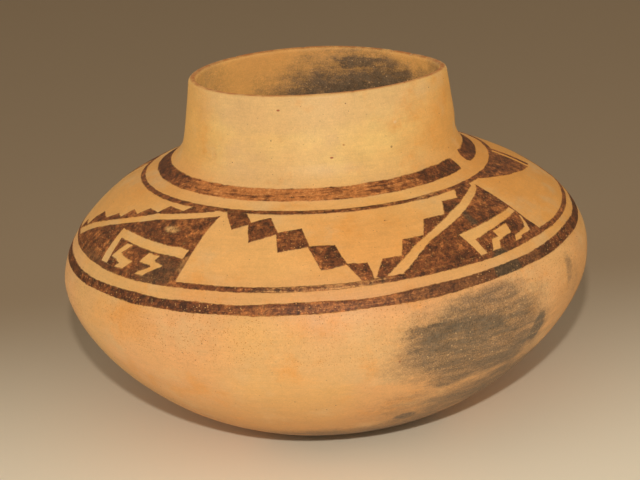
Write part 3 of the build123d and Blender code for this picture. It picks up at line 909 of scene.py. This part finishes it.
def jar_place_group():
    """Where a point lies on the jar: its angle and height, a drift that makes edges ragged, and brushed streaks."""
    names = ("Around", "Up", "Drift", "Streak", "Sweep")
    tree, given = new_group("jar_place", ("Vector",), names)
    vector = given["Vector"]
    place = node(tree, "ShaderNodeSeparateXYZ", {0: vector})
    around = place["X"].math("ARCTAN2", place["Y"] * -1.0)
    drift = reduce(add, ((vector.grain(waves, 3.0, 0.6) - 0.5) * amount for waves, amount in DRIFTS))
    # Streaks run round the jar, so they are stretched along the angle; both ends of the turn meet at the back
    ends = node(tree, "ShaderNodeCombineXYZ", {0: around.math("SINE"), 1: around.math("COSINE")})
    flat = ends.vector("MULTIPLY", TURN_WAVES)
    talls = (node(tree, "ShaderNodeCombineXYZ", {2: place["Z"] * waves}) for waves in (STREAK_WAVES, SWEEP_WAVES))
    strokes = (flat.vector("ADD", tall).grain(1.0, 4.0, 0.7) for tall in talls)
    node(tree, "NodeGroupOutput", zip(names, (around, place["Z"], drift, *strokes)))


def soft_patch_group():
    """Mask of a soft patch with ragged edges, at an angle round the jar and a height."""
    names = ("Around", "Up", "Drift", "Angle", "Height", "Half Angle", "Half Height", "Raggedness")
    tree, given = new_group("soft_patch", names, ("Mask",))
    across = (given["Around"] - given["Angle"]).math("WRAP", pi, -pi) / given["Half Angle"]
    rise = (given["Up"] - given["Height"]) / given["Half Height"]
    reach = (across.math("POWER", 2.0) + rise.math("POWER", 2.0)).math("SQRT")
    mask = (reach + given["Drift"] * given["Raggedness"]).ease(*PATCH_EDGE)
    node(tree, "NodeGroupOutput", {"Mask": mask})


def patch(place, angle, height, half_angle, half_height, raggedness):
    """Mask of one soft patch, in degrees and millimetres."""
    inputs = {name: place[name] for name in ("Around", "Up", "Drift")}
    inputs |= {"Angle": radians(angle), "Height": height * MM, "Half Angle": radians(half_angle)}
    inputs |= {"Half Height": half_height * MM, "Raggedness": raggedness}
    return use_group(place.tree, "soft_patch", inputs)


def patches(place, spots):
    """Mask of several soft patches, each with its strength."""
    return most(patch(place, *spot) * strength for strength, *spot in spots)


def fired_clay_group(tones):
    """Polished, smoke-clouded clay, the same under the paint as beside it."""
    outputs = ("Color", "Roughness", "Height", "Smoke")
    tree, given = new_group("fired_clay", ("Vector", "Inside", "Lip", "Chip"), outputs)
    vector, inside = given["Vector"], given["Inside"]
    place = use_group(tree, "jar_place", {"Vector": vector})
    height = place["Up"]
    outside = 1.0 - inside

    # Clay tones by height, with blushes and tinted areas
    colour = vector.grain(*BLUSHES).ease(0.38, 0.62).mix(tones.ochre, tones.peach)
    colour = (height.between(*SHOULDER_TONE) * 0.75).mix(colour, tones.warm)
    uneven = vector.grain(*NECK_BLUSHES).ease(0.30, 0.60, 0.55, 1.0)
    colour = (height.ease(*NECK_TONE) * uneven).mix(colour, tones.pale)
    colour = (height.ease(*LOW_TONE) * 0.85).mix(colour, tones.low)
    for tone, strength, *spot in TINTS:
        colour = (patch(place, *spot) * strength).mix(colour, getattr(tones, tone))
    colour = vector.grain(*YOLKS).ease(0.54, 0.74, 0.0, 0.55).mix(colour, tones.gold)
    colour = vector.grain(*PEARLS).ease(0.50, 0.70, 0.0, 0.55).mix(colour, tones.bloom)

    # Mottling, polishing streaks and fine grain
    askew = node(tree, "ShaderNodeVectorRotate", {"Vector": vector, "Axis": NOISE_AXIS, "Angle": NOISE_TURN})
    parts = {name: askew.grain(*noises) for name, noises in CLAY_NOISE.items()}
    parts |= {"streak": place["Streak"], "sweep": place["Sweep"], "inside": inside}
    shade = weighed(parts, CLAY_SHADE) + 0.41

    # Grit: sparse dark specks, and rusty freckles under the frame band
    rust_zone = height.between(*RUST_ZONE) * vector.grain(*FRECKLE_FLOCKS).ease(0.32, 0.54, 0.45, 1.0)
    freckles = most(vector.dots(*dots) for dots in FRECKLES)
    colour = (freckles * rust_zone * 0.85).mix(colour, tones.freckle)
    specks = [vector.dots(*dots) for dots in SPECKS]
    specks += [vector.dots(*ZONE_SPECKS) * rust_zone, vector.dots(*FAINT_SPECKS) * 0.7]
    parts["specks"] = most(specks)
    colour = (parts["specks"] * 0.85).mix(colour, tones.speck)
    colour = vector.dots(*RED_GRAINS).mix(colour, tones.rust)
    for tone, strength, *spot in GRAINS:
        colour = (patch(place, *spot) * outside * strength).mix(colour, getattr(tones, tone))

    # Inside and lip: the inside colour is partly the clay's own tone and partly painted light that brightens the shaded
    # inside
    colour = (inside * height.ease(*LINING_LIGHT_HEIGHTS, 0.85, 1.0)).mix(colour, tones.lining_with_painted_light)
    worn = vector.grain(*LIP_WEAR).ease(0.3, 0.6, 0.35, 1.0)
    lip = given["Lip"].ease(0.60, 1.0)
    colour = (lip * worn).mix(colour, tones.lip)
    colour = (given["Chip"] * parts["grit"].ease(0.35, 0.5) * lip).mix(colour, tones.chip)

    # Smoke of the firing, outside and inside, and painted shade on the left inner wall
    smoke = most((patches(place, OUTER_CLOUDS) * outside, patches(place, INNER_SMOKE_AND_SHADE) * inside))
    density = smoke * weighed(parts, SMOKE_PATCHES).ease(0.34, 0.76, 0.56, 1.3)
    grey = density.ease(0.35, 1.3).mix(tones.smoke, tones.soot)
    colour = density.ease(0.0, 0.85, 0.0, 0.94).mix(colour, grey)
    rubbed = inside * smoke * parts["sweep"].ease(0.54, 0.64)
    colour = (rubbed * 0.35).mix(colour, tones.smoke)
    colour = (vector.dots(*SMOKE_FLECKS) * smoke * 0.75).mix(colour, tones.bloom)
    sooty = smoke * (weighed(parts, SMOKE_SHADE) - 2.15)
    colour = colour.shaded(shade + sooty)

    roughness = weighed(parts, CLAY_ROUGHNESS) + 0.36
    node(tree, "NodeGroupOutput", zip(outputs, (colour, roughness, weighed(parts, CLAY_BUMPS), smoke)))


def worn_paint_group(tones):
    """Brushed mineral paint, mottled and flaked, that shows the clay under it."""
    inputs = ("Vector", "Cover", "Under", "Streak", "Thinness", "Pits", "Dryness", "Smoke", "Scuff")
    outputs = ("Color", "Roughness", "Height")
    tree, given = new_group("worn_paint", inputs, outputs)
    vector, streak, thinness, dryness = (given[name] for name in ("Vector", "Streak", "Thinness", "Dryness"))
    parts = {name: vector.grain(*noises) for name, noises in PAINT_NOISE.items()}
    parts |= {"streak": streak, "dryness": dryness}
    cloud, grit = parts["cloud"], parts["grit"]
    load = weighed(parts, PAINT_LOAD) - 0.125 + thinness * (streak - 0.35) * 0.9 + thinness * 0.03
    colour = load.ease(0.40, 0.50).mix(tones.paint_dark, tones.paint)
    colour = load.ease(0.48, 0.68).mix(colour, tones.paint_thin)
    black = (given["Smoke"] * cloud.ease(0.3, 0.6, 0.6, 1.0)).ease(0.0, 1.0)
    colour = black.mix(colour, tones.paint_black)
    speckle = (parts["fine"] + grit * 1.3).ease(0.70, 1.60, -0.72, 0.80)
    body = thinness.ease(0.0, 0.5, 1.0, 0.5)
    colour = colour.shaded(speckle * body + 1.0)

    # Places where the clay shows: flaked dots, dry strokes and the thin edge
    flock = vector.grain(*FLAKE_FLOCKS).ease(0.40, 0.60, 0.15, 1.0)
    flakes = most(vector.dots(*dots) for dots in FLAKES) * flock * given["Pits"]
    dry = weighed(parts, DRY_BRISTLES).ease(0.62, 0.82) * (dryness > 0.001)
    edge = (given["Cover"] + (grit - 0.5) * 2.8).ease(0.8, 0.0)
    scuff = given["Scuff"] * grit.ease(0.35, 0.55)
    parts["bare"] = most((flakes * 0.85, dry * 0.9, edge * 0.65, scuff))
    colour = parts["bare"].mix(colour, given["Under"])
    node(tree, "NodeGroupOutput", zip(outputs, (colour, cloud * 0.2 + 0.48, weighed(parts, PAINT_BUMPS) + 0.6)))


def make_groups():
    """Make the shared shader groups once."""
    if "jar_place" not in bpy.data.node_groups:
        tones = bpy.context.scene.jar_colours
        jar_place_group()
        soft_patch_group()
        fired_clay_group(tones)
        worn_paint_group(tones)


def new_material(name):
    """Material with shader nodes. Returns it, its tree and the place of a point on the object."""
    material = bpy.data.materials.new(name)
    material.use_nodes = True
    tree = material.node_tree
    return material, tree, node(tree, "ShaderNodeTexCoord", key="Object")


def attribute(tree, name):
    """Value that the mesh holds at each point."""
    return node(tree, "ShaderNodeAttribute", key="Fac", attribute_name=name)


def finish_material(material, made, gloss, depth):
    """Connect a group's colour, roughness and height to the material's shader."""
    tree = material.node_tree
    bump = node(tree, "ShaderNodeBump", {"Height": made["Height"], "Strength": 0.5, "Distance": depth}, "Normal")
    plug(tree.nodes["Principled BSDF"], {
        "Base Color": made["Color"], "Roughness": made["Roughness"], "Normal": bump,
        "Specular IOR Level": gloss, "Diffuse Roughness": 0.6,
    })
    return material


def clay_material():
    """Polished clay of all the courses."""
    name = "polished_clay"
    if name in bpy.data.materials:
        return bpy.data.materials[name]
    make_groups()
    material, tree, vector = new_material(name)
    inputs = {label: attribute(tree, layer) for label, layer in CLAY_LAYERS.items()}
    return finish_material(material, use_group(tree, "fired_clay", inputs | {"Vector": vector}), 0.40, 0.25 * MM)


def paint_material(kind):
    """Mineral paint with its own wear. A patch is where that wear is, or the wear is all over."""
    name = f"{kind}_paint"
    if name in bpy.data.materials:
        return bpy.data.materials[name]
    make_groups()
    material, tree, vector = new_material(name)
    place = use_group(tree, "jar_place", {"Vector": vector})
    under = use_group(tree, "fired_clay", {"Vector": vector} | dict.fromkeys(CLAY_LAYERS, 0.0))
    pits, dryness, thinness, dry_patch, thin_patch = WEAR[kind]
    if dry_patch:
        dryness = patch(place, *dry_patch) * dryness
    if thin_patch:
        thinness = patch(place, *thin_patch) * (thinness + THICK_PAINT) - THICK_PAINT
    inputs = {
        "Vector": vector, "Cover": attribute(tree, "cover"), "Under": under["Color"], "Streak": place["Streak"],
        "Pits": pits, "Dryness": dryness, "Thinness": thinness,
        "Smoke": most((under["Smoke"], patches(place, BLACK_PAINT))), "Scuff": patches(place, SCUFFS),
    }
    return finish_material(material, use_group(tree, "worn_paint", inputs), 0.28, 0.12 * MM)


class JAR_OT_moulded_base(bpy.types.Operator):
    """Turn the base from the axis to its first joint"""

    bl_idname = "jar.moulded_base"
    bl_label = "Moulded base"

    def execute(self, context):
        wall, _ = settings()
        bm = turned_course(wall, -wall.size.base_radius, wall.joints()[0], wall.size.steps, "disc")
        add_piece(bm, "base_clay", "moulded_base", clay_material())
        return {"FINISHED"}


class JAR_OT_wall_coils(bpy.types.Operator):
    """Turn the coils of the belly, the shoulder and the neck"""

    bl_idname = "jar.wall_coils"
    bl_label = "Wall coils"

    def execute(self, context):
        wall, _ = settings()
        joints = wall.joints()
        names = BELLY_COILS + SHOULDER_COILS + NECK_COILS
        for name, low, high in zip(names, joints, joints[1:]):
            bm = turned_course(wall, low, high, wall.size.steps)
            add_piece(bm, f"{name}_clay", name, clay_material())
        return {"FINISHED"}


class JAR_OT_rim_coil(bpy.types.Operator):
    """Turn the last coil, with its rounded and chipped lip"""

    bl_idname = "jar.rim_coil"
    bl_label = "Rim coil"

    def execute(self, context):
        wall, _ = settings()
        bm = turned_course(wall, wall.joints()[-1], wall.neck_end, 2 * wall.size.steps, "lip")
        add_piece(bm, "rim_clay", "rim_coil", clay_material())
        return {"FINISHED"}


class JAR_OT_frame_rings(bpy.types.Operator):
    """Paint the band and the line that frame the shoulder from below"""

    bl_idname = "jar.frame_rings"
    bl_label = "Frame rings"

    def execute(self, context):
        wall, brush = settings()
        paint, shift = brush.paint, brush.frame_shift
        bm = brush.ring(wall.belly_end + paint.frame_band_rise, paint.frame_band_width, shift, FRAME_BAND_WANDER)
        add_piece(bm, "frame_band_film", "frame_band", paint_material("frame_band"))
        bm = brush.ring(brush.frame_line, paint.frame_line_width, shift, FRAME_LINE_WANDER)
        add_piece(bm, "frame_line_film", "frame_line", paint_material("frame_line"))
        return {"FINISHED"}


class JAR_OT_neck_rings(bpy.types.Operator):
    """Paint the line and the open band round the foot of the neck"""

    bl_idname = "jar.neck_rings"
    bl_label = "Neck rings"

    def execute(self, context):
        wall, brush = settings()
        paint = brush.paint
        bm = brush.ring(
            brush.neck_line - NECK_LINE_LAP, paint.neck_line_width, brush.neck_shift, NECK_LINE_WANDER
        )
        add_piece(bm, "neck_line_film", "neck_line", paint_material("neck_line"))
        low = wall.radius_at(wall.shoulder_end + paint.neck_band_rise)
        high = wall.radius_at(wall.shoulder_end + paint.neck_band_rise + paint.neck_band_width)
        bm = brush.film([[self.open_band(brush, low, high)]])
        add_piece(bm, "neck_band_film", "neck_band", paint_material("neck_band"))
        return {"FINISHED"}

    def open_band(self, brush, outer, inner):
        """Plan outline of a band with one opening and rounded ends."""
        paint = brush.paint
        start = paint.break_angle + paint.break_width / 2
        end = paint.break_angle - paint.break_width / 2 + 2 * pi
        middle, half = (outer + inner) / 2, (outer - inner) / 2
        count = round((end - start) * middle / paint.stroke)
        turns = [start + (end - start) * n / count for n in range(count + 1)]

        def rounded(turn, side):
            reach = END_ROUND * half / middle
            return [(turn + side * sin(a) * reach, middle + side * half * cos(a)) for a in END_TURNS]

        path = [(turn, outer) for turn in turns] + rounded(end, 1)
        path += [(turn, inner) for turn in reversed(turns)] + rounded(start, -1)
        path = [(turn, radius - brush.neck_shift(turn)) for turn, radius in path]
        return [brush.shaken(Vector((radius * sin(turn), -radius * cos(turn), 0))) for turn, radius in path]


def with_back(shapes, turn, stretch):
    """Shapes at the front, and the same shapes turned to the back."""
    start = shapes[0][0][0]
    return [*shapes, *(moved(shape, start, turn, stretch) for shape in shapes)]


def paint_motifs(name, stands_for, shapes):
    """Paint motifs on the shoulder. Each shape is a list of corner lists, its outline and then its holes."""
    _, brush = settings()
    outlines = [[brush.drawn(corners) for corners in shape] for shape in shapes]
    add_piece(brush.film(outlines), name, stands_for, paint_material("motif"))


class JAR_OT_stepped_fringes(bpy.types.Operator):
    """Paint the stepped edge above each unit's bare stripe"""

    bl_idname = "jar.stepped_fringes"
    bl_label = "Stepped fringes"

    def execute(self, context):
        shapes = []
        for unit in painted_units():
            peak = (unit["stripe_top"][0][0] + PEAK_LEAN, NECK)
            shapes.append([unit["stripe_top"][::-1] + (peak,) + unit["stairs"][::-1]])
        paint_motifs("stepped_fringe_film", "stepped_fringes", shapes)
        return {"FINISHED"}


class JAR_OT_lightning_panels(bpy.types.Operator):
    """Paint the dark panels, leaving the bent band and the lightning bolts bare"""

    bl_idname = "jar.lightning_panels"
    bl_label = "Lightning panels"

    def execute(self, context):
        shapes = [[unit["stripe_low"][::-1] + unit["edge"], *unit["bare"]] for unit in painted_units()]
        paint_motifs("lightning_panel_film", "lightning_panels", shapes)
        return {"FINISHED"}


class JAR_OT_diamond_chains(bpy.types.Operator):
    """Paint the two chains of diamonds"""

    bl_idname = "jar.diamond_chains"
    bl_label = "Diamond chains"

    def execute(self, context):
        diamonds = with_back(DIAMONDS, *BACK_CHAIN)
        paint_motifs("diamond_chain_film", "diamond_chains", [[diamond] for diamond in diamonds])
        return {"FINISHED"}


class JAR_OT_hanging_triangles(bpy.types.Operator):
    """Paint the triangles that hang from the neck line, with the stripe beside each"""

    bl_idname = "jar.hanging_triangles"
    bl_label = "Hanging triangles"

    def execute(self, context):
        hanging = with_back((HANGING_TRIANGLE, HANGING_STRIPE), *BACK_HANGING)
        paint_motifs("hanging_triangle_film", "hanging_triangles", [[shape] for shape in hanging])
        return {"FINISHED"}


class JAR_OT_stage(bpy.types.Operator):
    """Set the floor, the backdrop, the lamps and the camera"""

    bl_idname = "jar.stage"
    bl_label = "Stage"

    def execute(self, context):
        scene, stage = context.scene, context.scene.jar_stage
        scene.view_settings.view_transform = "Standard"
        self.backdrop(stage)
        self.lamp(scene, "front_lamp", stage.front, *FRONT_LAMP)
        self.lamp(scene, "left_lamp", LEFT_SHARE * stage.fill, *LEFT_LAMP)
        self.lamp(scene, "right_lamp", stage.fill, *RIGHT_LAMP)
        world = bpy.data.worlds.new("studio")
        world.use_nodes = True
        plug(world.node_tree.nodes["Background"], {"Color": (*linear(*SKY_TINT), 1.0), "Strength": stage.sky})
        scene.world = world
        self.camera(scene, stage)
        return {"FINISHED"}

    def backdrop(self, stage):
        """Round floor that curves up into a backdrop far from the jar, with painted shade that darkens it behind the
        jar and far off.
        """
        reach, curve, rows, steps = 2.2, 0.9, 12, 96
        turns = [pi / 2 * n / rows for n in range(rows + 1)]
        section = [(0.0, 0.0)] + [(reach + curve * sin(turn), curve - curve * cos(turn)) for turn in turns]
        material, tree, place = new_material("backdrop_paper")
        back = node(tree, "ShaderNodeSeparateXYZ", {0: place}, "Y")
        far = node(tree, "ShaderNodeVectorMath", {0: place}, "Value", operation="LENGTH")
        # Painted shade: the floor turns darker behind the jar and far off, where the lamps' light falls off
        away = most((back.ease(-0.10, 0.16), far.ease(0.45, 1.3)))
        colour = away.mix(stage.floor, stage.backdrop)
        plug(tree.nodes["Principled BSDF"], {"Base Color": colour, "Roughness": 0.9, "Specular IOR Level": 0.1})
        bm = turned((), section, lambda out, height: (0, out, height), steps, 1e-5, closed=False)
        sheet = add_mesh(bm, "backdrop", material)

    def lamp(self, scene, name, power, width, place):
        """Square soft lamp that faces the jar."""
        light = bpy.data.lights.new(name, "AREA")
        light.energy = power
        light.size = width
        light.color = linear(*LAMP_TINT)
        made = bpy.data.objects.new(name, light)
        made.location = place
        made.rotation_euler = (Vector(LAMP_AIM) - Vector(place)).to_track_quat("-Z", "Y").to_euler()
        scene.collection.objects.link(made)

    def camera(self, scene, stage):
        """Camera at the photograph's angle."""
        lens = bpy.data.cameras.new("camera")
        lens.lens = stage.lens
        lens.sensor_width = 36.0
        lens.sensor_fit = "HORIZONTAL"
        lens.clip_start = 0.01
        eye, aim = Vector(stage.eye), Vector(stage.aim)
        ahead = (aim - eye).normalized()
        side = ahead.cross(UP).normalized()
        top = side.cross(ahead)
        turn = stage.roll
        right = side * cos(turn) - top * sin(turn)
        up = side * sin(turn) + top * cos(turn)
        made = bpy.data.objects.new("camera", lens)
        made.matrix_world = Matrix.Translation(eye) @ Matrix((right, up, -ahead)).transposed().to_4x4()
        scene.collection.objects.link(made)
        scene.camera = made


OPERATORS = (
    JAR_OT_moulded_base, JAR_OT_wall_coils, JAR_OT_rim_coil, JAR_OT_frame_rings, JAR_OT_neck_rings,
    JAR_OT_stepped_fringes, JAR_OT_lightning_panels, JAR_OT_diamond_chains, JAR_OT_hanging_triangles, JAR_OT_stage,
)


class JAR_PT_builder(bpy.types.Panel):
    """Lists the steps of the jar"""

    bl_idname = "JAR_PT_builder"
    bl_label = "Pottery jar"
    bl_space_type = "VIEW_3D"
    bl_region_type = "UI"
    bl_category = "Jar"

    def draw(self, context):
        for operator in OPERATORS:
            self.layout.operator(operator.bl_idname)
        for name in GROUPS:
            group = getattr(context.scene, name)
            box = self.layout.box()
            for setting in group.bl_rna.properties:
                if setting.identifier not in ("rna_type", "name"):
                    box.prop(group, setting.identifier)


GROUPS = {"jar_wall": JarWall, "jar_paint": JarPaint, "jar_colours": JarColours, "jar_stage": JarStage}
CLASSES = (*GROUPS.values(), *OPERATORS, JAR_PT_builder)


def register():
    for cls in CLASSES:
        bpy.utils.register_class(cls)
    for name, group in GROUPS.items():
        setattr(bpy.types.Scene, name, PointerProperty(type=group))


def unregister():
    for name in GROUPS:
        delattr(bpy.types.Scene, name)
    for cls in reversed(CLASSES):
        bpy.utils.unregister_class(cls)


def main():
    register()
    bpy.ops.jar.moulded_base()
    bpy.ops.jar.wall_coils()
    bpy.ops.jar.rim_coil()
    bpy.ops.jar.frame_rings()
    bpy.ops.jar.neck_rings()
    bpy.ops.jar.stepped_fringes()
    bpy.ops.jar.lightning_panels()
    bpy.ops.jar.diamond_chains()
    bpy.ops.jar.hanging_triangles()
    bpy.ops.jar.stage()


if __name__ == "__main__":
    main()
